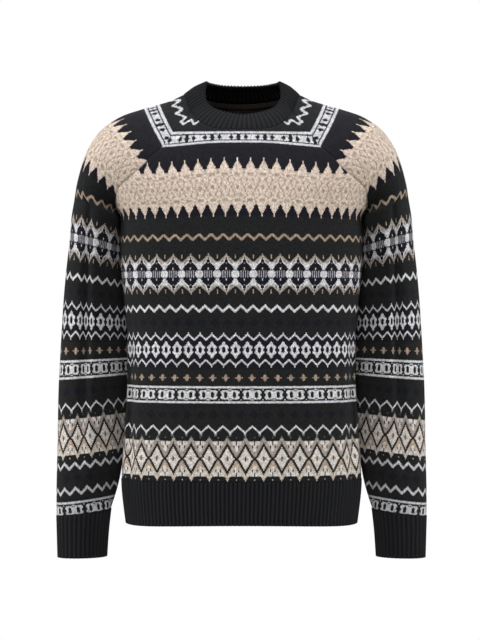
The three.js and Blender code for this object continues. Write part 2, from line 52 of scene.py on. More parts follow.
# How much light comes from the white surroundings
AMBIENT = 0.13
LAMPS = [
    {"name": "left_softbox", "at": (-4.0, -1.3, 1.9), "size": 1.8, "watts": 160},
    {"name": "right_softbox", "at": (4.1, -1.2, 1.8), "size": 1.8, "watts": 144},
    {"name": "front_softbox", "at": (-0.3, -2.7, 2.7), "size": 1.6, "watts": 66},
    {"name": "top_softbox", "at": (0.0, -0.4, 2.6), "size": 2.2, "watts": 46},
    {"name": "back_softbox", "at": (0.0, 4.4, 1.8), "size": 1.8, "watts": 70},
]
LAMP_AIM = (0, 0, -0.35)
FLOOR_HEIGHT = -1.42
FLOOR_RADIUS = 3.0
FLOOR_SIDES = 128
FLOOR_COLOUR = "#E9E8E6"
FLOOR_ROUGHNESS = 0.8


def linear(text):
    """An sRGB hex colour as linear red, green, blue and alpha."""
    parts = [int(text[i:i + 2], 16) / 255 for i in (1, 3, 5)]
    return tuple(c / 12.92 if c <= 0.04045 else ((c + 0.055) / 1.055) ** 2.4 for c in parts) + (1.0,)


def add(tree, kind, links=None, **settings):
    """Adds a node, with its settings, and its inputs linked to sockets or set to values."""
    node = tree.nodes.new(kind)
    for name, value in settings.items():
        setattr(node, name, value)
    for key, value in (links or {}).items():
        if isinstance(value, bpy.types.NodeSocket):
            tree.links.new(value, node.inputs[key])
        else:
            node.inputs[key].default_value = value
    return node


camera_data = bpy.data.cameras.new("camera")
camera_data.sensor_width = SENSOR
camera_data.lens = SENSOR * VIEW_DISTANCE * 1000 / (PICTURE_HEIGHT * PIXEL_MM)
camera_data.clip_end = VIEW_END
camera = bpy.data.objects.new("camera", camera_data)
camera.location = (VIEW_SIDE, -VIEW_DISTANCE, VIEW_HEIGHT)
camera.rotation_euler = (math.pi / 2, 0, 0)
bpy.context.collection.objects.link(camera)
bpy.context.scene.camera = camera
bpy.context.scene.view_settings.view_transform = "Standard"

for lamp in LAMPS:
    lamp_data = bpy.data.lights.new(lamp["name"], "AREA")
    lamp_data.size = lamp["size"]
    lamp_data.energy = lamp["watts"]
    lamp_object = bpy.data.objects.new(lamp["name"], lamp_data)
    lamp_object.location = lamp["at"]
    aim = lamp_object.location.copy()
    aim.x, aim.y, aim.z = (LAMP_AIM[i] - lamp["at"][i] for i in range(3))
    lamp_object.rotation_euler = aim.to_track_quat("-Z", "Y").to_euler()
    bpy.context.collection.objects.link(lamp_object)

world = bpy.data.worlds.new("white_studio")
world.use_nodes = True
world.node_tree.nodes.clear()
seen = add(world.node_tree, "ShaderNodeLightPath")
paper = add(world.node_tree, "ShaderNodeBackground", {"Color": linear(BACKGROUND)})
soft = add(world.node_tree, "ShaderNodeBackground", {"Color": linear(BACKGROUND), "Strength": AMBIENT})
either = add(world.node_tree, "ShaderNodeMixShader",
             {0: seen.outputs["Is Camera Ray"], 1: soft.outputs[0], 2: paper.outputs[0]})
add(world.node_tree, "ShaderNodeOutputWorld", {"Surface": either.outputs[0]})
bpy.context.scene.world = world

floor_rim = []
for i in range(FLOOR_SIDES):
    turn = 2 * math.pi * i / FLOOR_SIDES
    floor_rim.append((FLOOR_RADIUS * math.cos(turn), FLOOR_RADIUS * math.sin(turn), FLOOR_HEIGHT))
floor_mesh = bpy.data.meshes.new("floor")
floor_mesh.from_pydata(floor_rim, [], [list(range(FLOOR_SIDES))])
floor = bpy.data.objects.new("floor", floor_mesh)
bpy.context.collection.objects.link(floor)
floor_paint = bpy.data.materials.new("matt_painted_floor")
floor_paint.use_nodes = True
surface = floor_paint.node_tree.nodes["Principled BSDF"]
surface.inputs["Base Color"].default_value = linear(FLOOR_COLOUR)
surface.inputs["Roughness"].default_value = FLOOR_ROUGHNESS
floor_mesh.materials.append(floor_paint)


# Stranded knitting. The body and sleeves are wool jersey in stocking stitch, knitted with two or three
# yarns to a row: a charcoal ground with bands of white, cream, tan and navy motifs. Each stitch is a small
# V of two plies, 1.7 mm wide and 1.5 mm high, slightly hairy, and no yarn is quite even in colour.
MM = 0.001
# How far the two sides of a stitch rise above its point, in rows
V_DIP = 0.75
# How far stray fibres carry a colour past its stitch, in stitches from one side to the other
FUZZ = 1.3
FUZZ_SCALE = 1.1
FUZZ_DETAIL = 2.0
STITCH_RELIEF = 0.45 * MM
STITCH_BUMP = 0.6

# Each band of the chart gives the middle row that it mirrors about, or else its top row, counted from the
# shoulder, the stitches in one repeat, and the stitch from the middle line on which a motif is centred.
# Its lines run from the middle or the top of the band downwards, and each one from the motif's centre
# outwards to half a repeat: w is the light yarn, m the middle one, d the deep one, and . the ground.
SPIKES = ["mmmmmd", "mmmmmd", "mmmmdd", "mmmmdd", "mmmmdd", "mmmddd", "mmmddd", "mmdddd", "mmdddd",
          "mddddd", "mddddd", "m..ddd", "m....d"]
ZIGZAG = ["w.....", "ww....", "www...", ".www..", "..www.", "...www", "....ww", ".....w"]
NAVY_DIAMOND = ["ddddd..", "dddd...", "ddd....", "dd.....", "d......"]
CROSSED_BAND = ["...ww...www", "...ww...www", "..www...www", "..wwww.wwww", "...wwwwww..", "w........ww",
                "...........", "wwwwwwwwwww", "wwwwwwwwwww"]
CHART = [
    {"top": 24, "repeat": 12, "shift": 0,
     "lines": ["ww.....", "wwww...", ".www...", "...www.", "....www", ".....ww"]},
    {"middle": 42, "repeat": 22, "shift": 2,
     "lines": ["...ww....www", "..www...wwww", "..wwww.wwwww", "............", "wwwwwwwwwwww",
               "wwwwwwwwwwww"]},
    {"middle": 92, "repeat": 11, "shift": 3,
     "lines": ["ddmmmd", "ddmmmd", "dmmmdm", "mmmmdm", "mmmmdm", "mmmdmm", "mmmdmm", "mmddmm", "mmddmm",
               "mmmdmm", "mmmmdm", "mmmmmd", "dddmmm", "dddmmm", "dddmmd", "mmmmmd", "mmmmmm"] + SPIKES},
    {"top": 139, "repeat": 11, "shift": -6,
     "lines": ["mm....", "mmm...", ".mmm..", "..mmm.", "...mmm", "....mm", ".....m"]},
    {"middle": 179, "repeat": 16, "shift": -3,
     "lines": ["dmdmdwwww", "dmdmdwwww", "dmdmdwwww", "dmdmddwww", "ddddddddd", "wddddddww", "wddddddww",
               "ddddddwww", "ddddddwww", "dddddwwww", "ddddwwwww", "mddwwdwww", "ddwwdwmmm", "ddwdmmm..",
               "ddwmmm...", "dwmmm....", "dmmm....m", "mmm.....m", "mm......m", "m.......m", "m........"]},
    {"top": 210, "repeat": 11, "shift": 0, "lines": ZIGZAG},
    {"middle": 228, "repeat": 12, "shift": 0, "lines": NAVY_DIAMOND},
    {"middle": 255, "repeat": 11, "shift": 5,
     "lines": ["ddwwdd", "ddwwdd", "ddwwwd", "dwwwwd", "wwwwdd", "wwwddd", "wwdddd", "wwdddd", "wddddd",
               "dddddd", "dddddw", "ddddww", "dddww.", "ddww..", "dww...", "ww....", "w.....", "w....."]},
    {"middle": 283, "repeat": 12, "shift": 2, "lines": ["mmmm...", "mm.....", "mm.....", "m......"]},
    {"middle": 300, "repeat": 20, "shift": 0, "lines": CROSSED_BAND},
    {"middle": 320, "repeat": 12, "shift": 0, "lines": NAVY_DIAMOND},
    {"top": 331, "repeat": 13, "shift": 3,
     "lines": ["w......", "ww.....", ".ww....", "..ww...", "...ww..", "....ww.", ".....ww", "......w",
               "......w", "......m", "......m"]},
    {"middle": 364, "repeat": 16, "shift": -4,
     "lines": ["dmmwwwwdd", "dmwwwwddd", "dwwwwdddm", "wwwwwddmm", "wwwwdddmm", "wwwwddmmm", "wwwdddmmm",
               "wwwddmmmm", "wwdddmmww", "wwddmmmww", "wdddmmmww", "wddmmmdww", "dddmmmdww", "ddmmmmdww",
               "ddmmmwwwd", "dmmmwwwwd", "dmmmwwwwd", "mmmmwwwwd", "mmm......", "mm.......", "mm.......",
               "m.......m", "m........"]},
    {"top": 389, "repeat": 11, "shift": 0, "lines": ZIGZAG},
    {"middle": 404, "repeat": 12, "shift": 0, "lines": NAVY_DIAMOND},
    {"top": 412, "repeat": 11, "shift": 0, "lines": ZIGZAG},
    {"middle": 434, "repeat": 20, "shift": 0, "lines": CROSSED_BAND},
]
CHART_LENGTH = 460
# A band has at most this many lines. Each is kept as one number for each yarn, with a bit for each stitch.
BAND_LINES = 32
CHART_BITS = 12
# Slightly under two to the twelfth, so that rounding never loses a stitch
CHART_SCALE = 4095.99

# The yarns by row. Each list holds the row from which a colour is used.
GROUND_YARN = [(0, "#1B1C1D"), (50, "#19191E"), (112, "#1B1C1D"), (240, "#161619"), (274, "#1B1C1C")]
LIGHT_YARN = [(0, "#BEBEC2"), (155, "#D0CFD2"), (340, "#D0CAC3"), (387, "#BEBEC2")]
MIDDLE_YARN = [(0, "#C9C9CD"), (52, "#CBBBAD"), (130, "#A08E7B"), (155, "#A1958A"), (175, "#9C9BA5"),
               (184, "#A1958A"), (270, "#AC9783"), (325, "#6F6C6B"), (342, "#9C938A"), (348, "#A2968F"),
               (364, "#AE9C8B"), (372, "#C4BAAF")]
DEEP_YARN = [(0, "#17161D"), (73, "#A39384"), (109, "#14131C"), (340, "#211B1A"), (386, "#14131C")]
# The crosses are worked in four shades between these rows. The shade is picked anew once in each repeat.
CROSS_YARNS = ["#A08A79", "#8B847F", "#A0907B", "#9A8782"]
CROSS_ROWS = (270, 292)
CROSS_REPEAT = 12
CROSS_START = 3
# How unevenly stitches and patches of stitches take the dye: the spread and the least share of the colour
STITCH_DYE = (0.6, 0.7)
PATCH_DYE = (0.9, 0.55)
PATCH_SCALE = (0.62, 0.3, 1.0)
PATCH_DETAIL = 2.0
# How rounded a stitch is along its length, and how dark the painted shade makes it between the plies, in the
# same way
STITCH_ROUND = (0.45, 0.55)
PLY_PAINTED_SHADE = (0.45, 0.74)


def bit_masks(line):
    """A line of a chart as three numbers, for its light, middle and deep stitches."""
    return [sum(1 << i for i, mark in enumerate(line) if mark == yarn) / CHART_SCALE for yarn in "wmd"]


def fill_ramp(ramp, stops):
    """Gives a colour ramp hard steps at the given positions, and leaves out a step that changes nothing."""
    ramp.interpolation = "CONSTANT"
    kept = [stop for i, stop in enumerate(stops) if i == 0 or stop[1] != stops[i - 1][1]]
    ramp.elements[0].position = kept[0][0]
    ramp.elements[0].color = kept[0][1]
    if len(kept) == 1:
        ramp.elements.remove(ramp.elements[1])
    for i, (position, colour) in enumerate(kept[1:]):
        element = ramp.elements[1] if i == 0 else ramp.elements.new(position)
        element.position = position
        element.color = colour


def band_yarns(tree, column, row, band):
    """The three yarns of one band of the chart at a stitch, as a vector of ones and noughts."""
    half = band["repeat"] // 2
    lines = [bit_masks(line) for line in band["lines"]]
    empty = [0, 0, 0]
    if "middle" in band:
        down = add(tree, "ShaderNodeMath", {0: row, 1: band["middle"]}, operation="SUBTRACT")
        down = add(tree, "ShaderNodeMath", {0: down.outputs[0]}, operation="ABSOLUTE")
        lines = lines + [empty]
    else:
        down = add(tree, "ShaderNodeMath", {0: row, 1: band["top"] - 1}, operation="SUBTRACT")
        lines = [empty] + lines + [empty]
    place = add(tree, "ShaderNodeMath", {0: down.outputs[0], 1: 1 / BAND_LINES, 2: 0.5 / BAND_LINES},
                operation="MULTIPLY_ADD")
    line = add(tree, "ShaderNodeValToRGB", {"Fac": place.outputs[0]})
    fill_ramp(line.color_ramp, [(i / BAND_LINES, (*mask, 1)) for i, mask in enumerate(lines)])
    moved = add(tree, "ShaderNodeMath", {0: column, 1: half - band["shift"]}, operation="ADD")
    inside = add(tree, "ShaderNodeMath", {0: moved.outputs[0], 1: band["repeat"]},
                 operation="FLOORED_MODULO")
    out = add(tree, "ShaderNodeMath", {0: inside.outputs[0], 1: half}, operation="SUBTRACT")
    out = add(tree, "ShaderNodeMath", {0: out.outputs[0]}, operation="ABSOLUTE")
    rest = add(tree, "ShaderNodeMath", {0: CHART_BITS, 1: out.outputs[0]}, operation="SUBTRACT")
    power = add(tree, "ShaderNodeMath", {0: 2, 1: rest.outputs[0]}, operation="POWER")
    shifted = add(tree, "ShaderNodeVectorMath", {0: line.outputs[0], "Scale": power.outputs[0]},
                  operation="SCALE")
    whole = add(tree, "ShaderNodeVectorMath", {0: shifted.outputs[0]}, operation="FLOOR")
    bit = add(tree, "ShaderNodeVectorMath", {0: whole.outputs[0], 1: (2, 2, 2)}, operation="MODULO")
    return bit.outputs[0]


def rounded(tree, value):
    """Rises from nothing to one and falls back, once for each whole number of the value."""
    part = add(tree, "ShaderNodeMath", {0: value}, operation="FRACT").outputs[0]
    turn = add(tree, "ShaderNodeMath", {0: part, 1: math.pi}, operation="MULTIPLY").outputs[0]
    return add(tree, "ShaderNodeMath", {0: turn}, operation="SINE").outputs[0]


# The wool's own look: matt, with a soft bloom of loose fibres at grazing angles
WOOL_ROUGHNESS = 0.95
WOOL_IOR = 1.54
WOOL_SPECULAR = 0.12
WOOL_SHEEN = 0.03
WOOL_SHEEN_ROUGHNESS = 0.5


def finish_wool(tree, surface, colour, height, strength):
    """Gives a material the wool's look, with its colour and the height of its stitches."""
    tree.links.new(colour, surface.inputs["Base Color"])
    bump = add(tree, "ShaderNodeBump", {"Height": height, "Distance": STITCH_RELIEF, "Strength": strength})
    tree.links.new(bump.outputs[0], surface.inputs["Normal"])
    surface.inputs["Roughness"].default_value = WOOL_ROUGHNESS
    surface.inputs["IOR"].default_value = WOOL_IOR
    surface.inputs["Specular IOR Level"].default_value = WOOL_SPECULAR
    surface.inputs["Sheen Weight"].default_value = WOOL_SHEEN
    surface.inputs["Sheen Roughness"].default_value = WOOL_SHEEN_ROUGHNESS


knit = bpy.data.materials.new("stranded_wool_stocking_stitch")
knit.use_nodes = True
tree = knit.node_tree
surface = tree.nodes["Principled BSDF"]
place = add(tree, "ShaderNodeUVMap", uv_map="stitches")
fuzz = add(tree, "ShaderNodeTexNoise",
           {"Vector": place.outputs[0], "Scale": FUZZ_SCALE, "Detail": FUZZ_DETAIL})
fuzz = add(tree, "ShaderNodeVectorMath", {0: fuzz.outputs["Color"], 1: (0.5, 0.5, 0.5)},
           operation="SUBTRACT")
stray = add(tree, "ShaderNodeVectorMath", {0: fuzz.outputs[0], "Scale": FUZZ}, operation="SCALE")
strayed = add(tree, "ShaderNodeVectorMath", {0: place.outputs[0], 1: stray.outputs[0]}, operation="ADD")
axes = add(tree, "ShaderNodeSeparateXYZ", {0: strayed.outputs[0]})
across, downwards = axes.outputs[0], axes.outputs[1]
wale = add(tree, "ShaderNodeMath", {0: across}, operation="FLOOR").outputs[0]
in_wale = add(tree, "ShaderNodeMath", {0: across}, operation="FRACT").outputs[0]
from_middle = add(tree, "ShaderNodeMath", {0: in_wale, 1: 0.5}, operation="SUBTRACT").outputs[0]
from_middle = add(tree, "ShaderNodeMath", {0: from_middle}, operation="ABSOLUTE").outputs[0]
dip = add(tree, "ShaderNodeMath", {0: from_middle, 1: 2 * V_DIP, 2: -V_DIP},
          operation="MULTIPLY_ADD").outputs[0]
v_row = add(tree, "ShaderNodeMath", {0: downwards, 1: dip}, operation="ADD").outputs[0]
course = add(tree, "ShaderNodeMath", {0: v_row}, operation="FLOOR").outputs[0]

yarns = None
for band in CHART:
    found = band_yarns(tree, wale, course, band)
    if yarns is None:
        yarns = found
    else:
        yarns = add(tree, "ShaderNodeVectorMath", {0: yarns, 1: found}, operation="ADD").outputs[0]
which = add(tree, "ShaderNodeSeparateXYZ", {0: yarns})

along_chart = add(tree, "ShaderNodeMath", {0: course, 1: CHART_LENGTH}, operation="DIVIDE").outputs[0]


def yarn_by_row(stops):
    """The colour of one yarn along the chart."""
    ramp = add(tree, "ShaderNodeValToRGB", {"Fac": along_chart})
    fill_ramp(ramp.color_ramp, [(row / CHART_LENGTH, linear(colour)) for row, colour in stops])
    return ramp.outputs[0]


cross_number = add(tree, "ShaderNodeMath", {0: wale, 1: CROSS_START}, operation="ADD").outputs[0]
cross_number = add(tree, "ShaderNodeMath", {0: cross_number, 1: CROSS_REPEAT}, operation="DIVIDE").outputs[0]
cross_number = add(tree, "ShaderNodeMath", {0: cross_number}, operation="ROUND").outputs[0]
cross_pick = add(tree, "ShaderNodeTexWhiteNoise", {"W": cross_number}, noise_dimensions="1D").outputs[0]
cross_shade = add(tree, "ShaderNodeValToRGB", {"Fac": cross_pick})
fill_ramp(cross_shade.color_ramp,
          [(i / len(CROSS_YARNS), linear(yarn)) for i, yarn in enumerate(CROSS_YARNS)])
after = add(tree, "ShaderNodeMath", {0: course, 1: CROSS_ROWS[0]}, operation="GREATER_THAN").outputs[0]
before = add(tree, "ShaderNodeMath", {0: course, 1: CROSS_ROWS[1]}, operation="LESS_THAN").outputs[0]
in_crosses = add(tree, "ShaderNodeMath", {0: after, 1: before}, operation="MULTIPLY").outputs[0]
middle_yarn = add(tree, "ShaderNodeMix",
                  {0: in_crosses, 6: yarn_by_row(MIDDLE_YARN), 7: cross_shade.outputs[0]},
                  data_type="RGBA").outputs[2]

colour = yarn_by_row(GROUND_YARN)
for share, yarn in ((which.outputs[2], yarn_by_row(DEEP_YARN)), (which.outputs[1], middle_yarn),
                    (which.outputs[0], yarn_by_row(LIGHT_YARN))):
    colour = add(tree, "ShaderNodeMix", {0: share, 6: colour, 7: yarn}, data_type="RGBA").outputs[2]

# Each stitch takes the dye a little differently, and patches of several stitches drift in tone
stitch_place = add(tree, "ShaderNodeCombineXYZ", {0: wale, 1: course})
stitch_noise = add(tree, "ShaderNodeTexWhiteNoise", {0: stitch_place.outputs[0]}, noise_dimensions="2D")
patches = add(tree, "ShaderNodeVectorMath", {0: place.outputs[0], 1: PATCH_SCALE}, operation="MULTIPLY")
patch_noise = add(tree, "ShaderNodeTexNoise",
                  {"Vector": patches.outputs[0], "Scale": 1.0, "Detail": PATCH_DETAIL})
tone = add(tree, "ShaderNodeMath", {0: stitch_noise.outputs[0], 1: STITCH_DYE[0], 2: STITCH_DYE[1]},
           operation="MULTIPLY_ADD").outputs[0]
drift = add(tree, "ShaderNodeMath", {0: patch_noise.outputs[0], 1: PATCH_DYE[0], 2: PATCH_DYE[1]},
            operation="MULTIPLY_ADD").outputs[0]
tone = add(tree, "ShaderNodeMath", {0: tone, 1: drift}, operation="MULTIPLY").outputs[0]

# The two plies of a stitch are rounded, and painted shade darkens the gaps between them and between rows
plies = add(tree, "ShaderNodeMath", {0: in_wale, 1: 2}, operation="MULTIPLY").outputs[0]
in_stitch = rounded(tree, v_row)
along_stitch = add(tree, "ShaderNodeMath", {0: in_stitch, 1: STITCH_ROUND[0], 2: STITCH_ROUND[1]},
                   operation="MULTIPLY_ADD").outputs[0]
across_ply = rounded(tree, plies)
relief = add(tree, "ShaderNodeMath", {0: across_ply, 1: along_stitch}, operation="MULTIPLY").outputs[0]
shade = add(tree, "ShaderNodeMath", {0: relief, 1: PLY_PAINTED_SHADE[0], 2: PLY_PAINTED_SHADE[1]},
            operation="MULTIPLY_ADD").outputs[0]
tone = add(tree, "ShaderNodeMath", {0: tone, 1: shade}, operation="MULTIPLY").outputs[0]
toned = add(tree, "ShaderNodeVectorMath", {0: colour, "Scale": tone}, operation="SCALE").outputs[0]
finish_wool(tree, surface, toned, relief, STITCH_BUMP)

# The wrong side shows the strands that the idle yarns leave, lying across behind the stitches. They give the
# eye dark streaks, drawn out sideways.
FLOAT_STRETCH = (0.12, 1.0, 1.0)
FLOAT_SCALE = 0.9
FLOAT_DETAIL = 3.0
FLOAT_BUMP = 0.5
FLOAT_SHADES = [(0.42, "#141416"), (0.75, "#38363A")]

floats = bpy.data.materials.new("wool_floats_on_the_wrong_side")
floats.use_nodes = True
tree = floats.node_tree
surface = tree.nodes["Principled BSDF"]
place = add(tree, "ShaderNodeUVMap", uv_map="stitches")
strand = add(tree, "ShaderNodeMapping", {"Vector": place.outputs[0], "Scale": FLOAT_STRETCH}).outputs[0]
strand_noise = add(tree, "ShaderNodeTexNoise",
                   {"Vector": strand, "Scale": FLOAT_SCALE, "Detail": FLOAT_DETAIL}).outputs[0]
strand_colour = add(tree, "ShaderNodeValToRGB", {"Fac": strand_noise})
for element, (position, shade) in zip(strand_colour.color_ramp.elements, FLOAT_SHADES):
    element.position = position
    element.color = linear(shade)
tree.links.new(strand_colour.outputs[0], surface.inputs["Base Color"])
bump = add(tree, "ShaderNodeBump",
           {"Height": strand_noise, "Distance": STITCH_RELIEF, "Strength": FLOAT_BUMP})
tree.links.new(bump.outputs[0], surface.inputs["Normal"])
surface.inputs["Roughness"].default_value = WOOL_ROUGHNESS


# The front of the body. It is one shaped piece of stranded knitting from the neck to the hem band, linked
# to the sleeves along the raglan seams and to the back down the sides. Its rows are level below the arms.
WALL = 2.4 * MM
SIDE_SEAM_Y = -8
# How square the body is in section, and how level its neck seam is in the middle
SECTION_POWER = 2.4
FRONT_NECK_POWER = 4.6
# The row of the yoke at which the raglan seams end
UNDERARM = 9
# Height, half width at the seam, depth at the seam, depth on the middle line
FRONT = [
    (-32, 78.9, -38, -66), (-48.6, 90.9, -57, -71), (-64.4, 104.8, -71, -79), (-89.3, 122.1, -83, -95),
    (-105.9, 141, -87, -103), (-118.3, 151.7, -87, -108), (-137.9, 173.7, -81, -114),
    (-155.5, 192.3, -64, -118), (-178.9, 197.3, -36, -121), (-197, 190, -8, -123), (-246, 191, -8, -125),
    (-325, 185, -8, -122), (-389, 180, -8, -119), (-452, 180, -8, -117), (-520, 184, -8, -116),
    (-606, 188.5, -8, -112), (-671, 184, -8, -106),
]
HEM_SEAM_Z = -606
HEM_END_Z = -671
# Heights of each row of the yoke: on the front raglan seam and middle line, and on the back ones
YOKE = [
    (-32, -62, 2, -8), (-48.6, -72, -10, -22), (-64.4, -84, -32, -40), (-89.3, -100, -62, -66),
    (-105.9, -114, -88, -90), (-118.3, -127, -108, -110), (-137.9, -145, -134, -137),
    (-155.5, -162, -163, -160), (-178.9, -182, -184, -182), (-197, -197, -197, -197),
]
# The row of the chart that lies at each height of the body
BODY_ROWS = [
    (20, -15.4), (0, -3.4), (-32, 16.3), (-48.6, 26.7), (-64.4, 36.5), (-89.3, 51.8), (-105.9, 62.2),
    (-118.3, 70.1), (-137.9, 82.6), (-155.5, 94.0), (-178.9, 109.2), (-197, 121.0), (-246, 153.1),
    (-325, 205.0), (-389, 246.9), (-452, 288.2), (-520, 332.7), (-606, 388.6),
]
# How many rows lower the knitting hangs towards the sides of the front, by row, and how far from the middle
# the drop begins and is full
SIDE_DROP = [(-20, 0), (37, 0), (48, 4), (78, 4.5), (112, 2), (146, 0.5), (200, 0), (400, 0)]
SIDE_DROP_FROM = 24
SIDE_DROP_TO = 134
# Width of a stitch in millimetres, by row: the yoke is stretched more than the waist
STITCH_WIDTH = [(-20, 1.85), (40, 1.85), (66, 1.84), (92, 1.73), (121, 1.69), (145, 1.70), (179, 1.73),
                (215, 1.67), (255, 1.65), (300, 1.68), (332, 1.73), (364, 1.75), (440, 1.67)]
PANEL_COLUMNS = 120
YOKE_STEPS = 8
BODY_STEPS = 100
# Soft upright folds on both faces: distance from the middle, top, end, width and depth
BODY_FOLDS = [(173, -330, -650, 6.5, 16), (128, -430, -650, 15, 3), (60, -480, -660, 30, 2.5)]
FOLD_FADE = 40
# The linked seams pull the knitting in along their edges
SEAM_PULL = 0.25
SEAM_REACH = 3


def through(at, value):
    """A smooth curve through the given points that never overshoots them."""
    order = np.argsort(at)
    at = np.asarray(at, float)[order]
    value = np.asarray(value, float)[order]
    slope = np.diff(value) / np.diff(at)
    tangent = np.zeros(len(at))
    tangent[0], tangent[-1] = slope[0], slope[-1]
    for i in range(1, len(at) - 1):
        if slope[i - 1] * slope[i] > 0:
            before, after = at[i] - at[i - 1], at[i + 1] - at[i]
            w1, w2 = 2 * after + before, after + 2 * before
            tangent[i] = (w1 + w2) / (w1 / slope[i - 1] + w2 / slope[i])

    def curve(x):
        x = np.asarray(x, float)
        i = np.clip(np.searchsorted(at, x) - 1, 0, len(at) - 2)
        step = at[i + 1] - at[i]
        s = np.clip((x - at[i]) / step, 0, 1)
        rise = s * s * (3 - 2 * s)
        bend = s * (1 - s) ** 2 * tangent[i] - s * s * (1 - s) * tangent[i + 1]
        return value[i] * (1 - rise) + value[i + 1] * rise + step * bend

    return curve


def curves(table):
    """A curve over the first column of a table for each of the others."""
    columns = list(zip(*table))
    return [through(columns[0], column) for column in columns[1:]]


def by_station(table):
    """A curve over the number of the line for each column of a table."""
    return curves([(i, *line) for i, line in enumerate(table)])


def smooth_step(x, start, end):
    """Rises smoothly from nothing at the start to one at the end."""
    s = np.clip((x - start) / (end - start), 0, 1)
    return s * s * (3 - 2 * s)


def fold_depth(x, z):
    """How far the folds sink the body at a distance from the middle and a height."""
    total = np.zeros_like(x)
    for fold_x, top, end, width, depth in BODY_FOLDS:
        down = np.clip((top - z) / (top - end), 0, 1)
        total += depth * np.exp(-((np.abs(x) - fold_x) / width) ** 2) * np.sin(np.pi * down)
    return total


def body_face(table, side, neck_power):
    """The points of one face at given row heights and shares of the way across, and those of its seam."""
    seam_x, seam_y, mid_y = curves(table)

    def reach(z):
        share = np.maximum(0, (seam_y(z) - SIDE_SEAM_Y) / (mid_y(z) - SIDE_SEAM_Y)) ** SECTION_POWER
        return share, seam_x(z) / (1 - share) ** (1 / SECTION_POWER)

    def grid(seam_z, mid_z, shares):
        share, half_width = (part[:, None] for part in reach(seam_z))
        edge = seam_x(seam_z)[:, None]
        seam_z, mid_z = np.asarray(seam_z)[:, None], np.asarray(mid_z)[:, None]
        first = np.arcsin(np.sqrt(share))
        cosine = np.cos(first + shares[None, :] * (np.pi - 2 * first))
        x = np.sign(cosine) * np.minimum(edge, half_width * np.abs(cosine) ** (2 / SECTION_POWER))
        x[:, :1], x[:, -1:] = edge, -edge
        z = mid_z + (seam_z - mid_z) * (np.abs(x) / edge) ** neck_power
        inside = np.maximum(0, 1 - (np.abs(x) / reach(z)[1]) ** SECTION_POWER)
        full = (mid_y(z) - SIDE_SEAM_Y) * inside ** (1 / SECTION_POWER)
        y = SIDE_SEAM_Y + full - side * fold_depth(x, z) * np.minimum(1, np.abs(full) / FOLD_FADE)
        y[:, 0] = y[:, -1] = seam_y(seam_z[:, 0])
        return np.stack([x, y, z], axis=-1)

    return grid, lambda z: np.stack([seam_x(z), seam_y(z), np.asarray(z, float)], axis=-1)


def lengths_along(points):
    """Lengths along each row of a grid, from its first point."""
    steps = np.linalg.norm(np.diff(points, axis=1), axis=2)
    return np.concatenate([np.zeros((len(points), 1)), np.cumsum(steps, axis=1)], axis=1)


def grid_normals(points, outward):
    """The directions in which a grid of points faces."""
    down = np.gradient(points, axis=0)
    along = np.gradient(points, axis=1)
    normals = np.cross(down, along) * outward
    return normals / np.maximum(1e-9, np.linalg.norm(normals, axis=2, keepdims=True))


def quads(index, outward):
    """The corners of the faces between the points of a grid, given their numbers."""
    a, b, c, d = index[:-1, :-1], index[1:, :-1], index[1:, 1:], index[:-1, 1:]
    return np.stack((a, b, c, d) if outward > 0 else (a, d, c, b), axis=-1).reshape(-1, 4)


def knitted_piece(name, points, stitches, outward, materials, closed_from=None, wall=WALL):
    """A wall of knitting over a grid of points in millimetres. Its rows close on themselves from a row on."""
    rows, columns = points.shape[:2]
    index = np.arange(rows * columns).reshape(rows, columns)
    places = stitches.reshape(-1, 2)[quads(index, outward).reshape(-1)]
    if closed_from is not None:
        index[closed_from:, -1] = index[closed_from:, 0]
    used, faces = np.unique(quads(index, outward), return_inverse=True)
    mesh = bpy.data.meshes.new(name)
    mesh.from_pydata((points.reshape(-1, 3)[used] * MM).tolist(), [], faces.reshape(-1, 4).tolist())
    uv = mesh.uv_layers.new(name="stitches")
    uv.data.foreach_set("uv", places.astype(np.float32).ravel())
    mesh.polygons.foreach_set("use_smooth", [True] * len(mesh.polygons))
    for material in materials:
        mesh.materials.append(material)
    piece = bpy.data.objects.new(name, mesh)
    bpy.context.collection.objects.link(piece)
    solid = piece.modifiers.new("wall", "SOLIDIFY")
    solid.thickness = wall
    solid.offset = -1
    solid.use_even_offset = True
    solid.material_offset = len(materials) - 1
    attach(piece, "root")
    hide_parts(name)
    return piece


stitch_width = through(*zip(*STITCH_WIDTH))
body_row = through(*zip(*BODY_ROWS))
side_drop = through(*zip(*SIDE_DROP))
front_seam_z, front_mid_z, back_seam_z, back_mid_z = by_station(YOKE)
stations = np.linspace(0, UNDERARM, UNDERARM * YOKE_STEPS + 1)
below = np.linspace(YOKE[-1][0], HEM_SEAM_Z, BODY_STEPS + 1)[1:]
shares = np.linspace(0, 1, PANEL_COLUMNS + 1)


def pull_in_edges(points, outward):
    """Sinks a grid along its first and last columns, where a seam pulls it in."""
    along = lengths_along(points)
    edge = np.minimum(along, along[:, -1:] - along)
    sink = SEAM_PULL * np.exp(-(edge / SEAM_REACH) ** 2)
    return points - grid_normals(points, outward) * sink[..., None]


def panel(face, seam_z, mid_z, outward, dropped):
    """The points of the front or the back and their places on the chart. Its rows may drop at the sides."""
    seam_heights = np.concatenate([seam_z(stations), below])
    mid_heights = np.concatenate([mid_z(stations), below])
    points = face(seam_heights, mid_heights, shares)
    row = body_row(points[..., 2])
    if dropped:
        row = row - side_drop(row) * smooth_step(np.abs(points[..., 0]), SIDE_DROP_FROM, SIDE_DROP_TO)
    along = lengths_along(points)
    across = (along - along[:, PANEL_COLUMNS // 2, None]) / stitch_width(row)
    return pull_in_edges(points, outward), np.stack([across, row], axis=-1)


front_face, front_seam = body_face(FRONT, -1, FRONT_NECK_POWER)
points, stitches = panel(front_face, front_seam_z, front_mid_z, -1, True)
front_panel = knitted_piece("front_panel", points, stitches, -1, [knit, floats])


